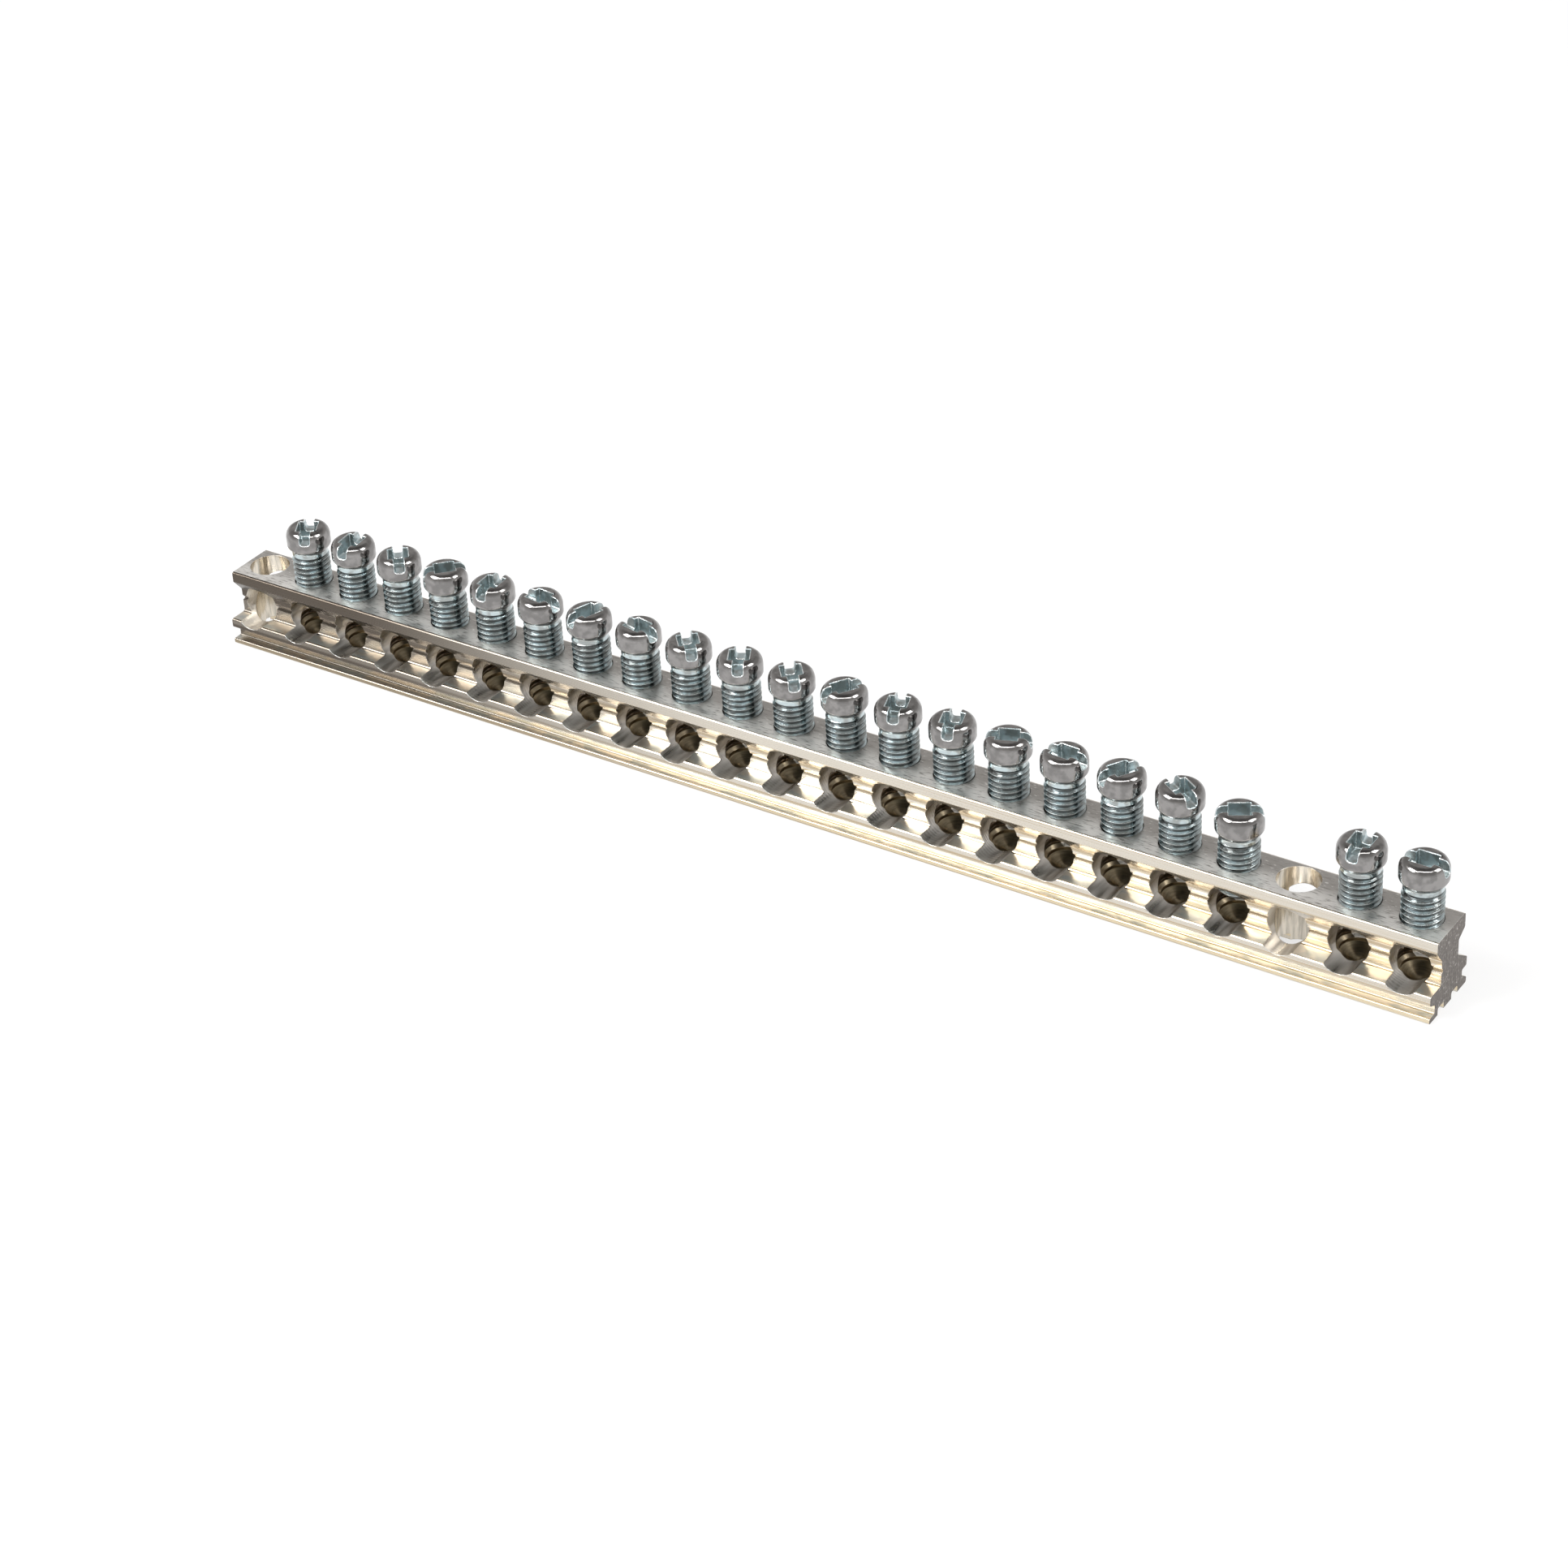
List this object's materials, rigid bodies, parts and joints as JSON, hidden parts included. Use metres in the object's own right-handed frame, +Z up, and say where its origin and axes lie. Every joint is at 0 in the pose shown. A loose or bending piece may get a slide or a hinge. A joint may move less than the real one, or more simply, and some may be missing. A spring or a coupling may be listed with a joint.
{
  "type": "earth terminal bar",
  "caption": "Straight plated metal earth terminal bar with a row of slotted clamping screws over blind wire holes, and plain fixing holes.",
  "frame": {"origin": "on the line of the screw holes, on the underside of the bar, midway between its two plain fixing holes", "axes": "+X along the bar towards the end with screws beyond the fixing hole, -Y the side that the wires enter, +Z up towards the screw heads"},
  "size_m": [0.2184, 0.0119, 0.0226],
  "materials": {
    "plated_aluminium": "tin-plated extrusion, satin",
    "zinc_steel": "bright zinc plate"
  },
  "bodies": {
    "bar": {"terminal_bar": "plated_aluminium"},
    "screw_01": {"terminal_screw_01": "zinc_steel"},
    "screw_02": {"terminal_screw_02": "zinc_steel"},
    "screw_03": {"terminal_screw_03": "zinc_steel"},
    "screw_04": {"terminal_screw_04": "zinc_steel"},
    "screw_05": {"terminal_screw_05": "zinc_steel"},
    "screw_06": {"terminal_screw_06": "zinc_steel"},
    "screw_07": {"terminal_screw_07": "zinc_steel"},
    "screw_08": {"terminal_screw_08": "zinc_steel"},
    "screw_09": {"terminal_screw_09": "zinc_steel"},
    "screw_10": {"terminal_screw_10": "zinc_steel"},
    "screw_11": {"terminal_screw_11": "zinc_steel"},
    "screw_12": {"terminal_screw_12": "zinc_steel"},
    "screw_13": {"terminal_screw_13": "zinc_steel"},
    "screw_14": {"terminal_screw_14": "zinc_steel"},
    "screw_15": {"terminal_screw_15": "zinc_steel"},
    "screw_16": {"terminal_screw_16": "zinc_steel"},
    "screw_17": {"terminal_screw_17": "zinc_steel"},
    "screw_18": {"terminal_screw_18": "zinc_steel"},
    "screw_19": {"terminal_screw_19": "zinc_steel"},
    "screw_20": {"terminal_screw_20": "zinc_steel"},
    "screw_21": {"terminal_screw_21": "zinc_steel"}
  },
  "joints": [
    {"name": "screw_travel_01", "type": "slide", "parent": "bar", "child": "screw_01", "axis": [0, 0, 1], "range_m": [-0.0049, 0]},
    {"name": "screw_travel_02", "type": "slide", "parent": "bar", "child": "screw_02", "axis": [0, 0, 1], "range_m": [-0.0049, 0]},
    {"name": "screw_travel_03", "type": "slide", "parent": "bar", "child": "screw_03", "axis": [0, 0, 1], "range_m": [-0.0049, 0]},
    {"name": "screw_travel_04", "type": "slide", "parent": "bar", "child": "screw_04", "axis": [0, 0, 1], "range_m": [-0.0049, 0]},
    {"name": "screw_travel_05", "type": "slide", "parent": "bar", "child": "screw_05", "axis": [0, 0, 1], "range_m": [-0.0049, 0]},
    {"name": "screw_travel_06", "type": "slide", "parent": "bar", "child": "screw_06", "axis": [0, 0, 1], "range_m": [-0.0049, 0]},
    {"name": "screw_travel_07", "type": "slide", "parent": "bar", "child": "screw_07", "axis": [0, 0, 1], "range_m": [-0.0049, 0]},
    {"name": "screw_travel_08", "type": "slide", "parent": "bar", "child": "screw_08", "axis": [0, 0, 1], "range_m": [-0.0049, 0]},
    {"name": "screw_travel_09", "type": "slide", "parent": "bar", "child": "screw_09", "axis": [0, 0, 1], "range_m": [-0.0049, 0]},
    {"name": "screw_travel_10", "type": "slide", "parent": "bar", "child": "screw_10", "axis": [0, 0, 1], "range_m": [-0.0049, 0]},
    {"name": "screw_travel_11", "type": "slide", "parent": "bar", "child": "screw_11", "axis": [0, 0, 1], "range_m": [-0.0049, 0]},
    {"name": "screw_travel_12", "type": "slide", "parent": "bar", "child": "screw_12", "axis": [0, 0, 1], "range_m": [-0.0049, 0]},
    {"name": "screw_travel_13", "type": "slide", "parent": "bar", "child": "screw_13", "axis": [0, 0, 1], "range_m": [-0.0049, 0]},
    {"name": "screw_travel_14", "type": "slide", "parent": "bar", "child": "screw_14", "axis": [0, 0, 1], "range_m": [-0.0049, 0]},
    {"name": "screw_travel_15", "type": "slide", "parent": "bar", "child": "screw_15", "axis": [0, 0, 1], "range_m": [-0.0049, 0]},
    {"name": "screw_travel_16", "type": "slide", "parent": "bar", "child": "screw_16", "axis": [0, 0, 1], "range_m": [-0.0049, 0]},
    {"name": "screw_travel_17", "type": "slide", "parent": "bar", "child": "screw_17", "axis": [0, 0, 1], "range_m": [-0.0049, 0]},
    {"name": "screw_travel_18", "type": "slide", "parent": "bar", "child": "screw_18", "axis": [0, 0, 1], "range_m": [-0.0049, 0]},
    {"name": "screw_travel_19", "type": "slide", "parent": "bar", "child": "screw_19", "axis": [0, 0, 1], "range_m": [-0.00395, 0.00095]},
    {"name": "screw_travel_20", "type": "slide", "parent": "bar", "child": "screw_20", "axis": [0, 0, 1], "range_m": [-0.0049, 0]},
    {"name": "screw_travel_21", "type": "slide", "parent": "bar", "child": "screw_21", "axis": [0, 0, 1], "range_m": [-0.0049, 0]}
  ]
}
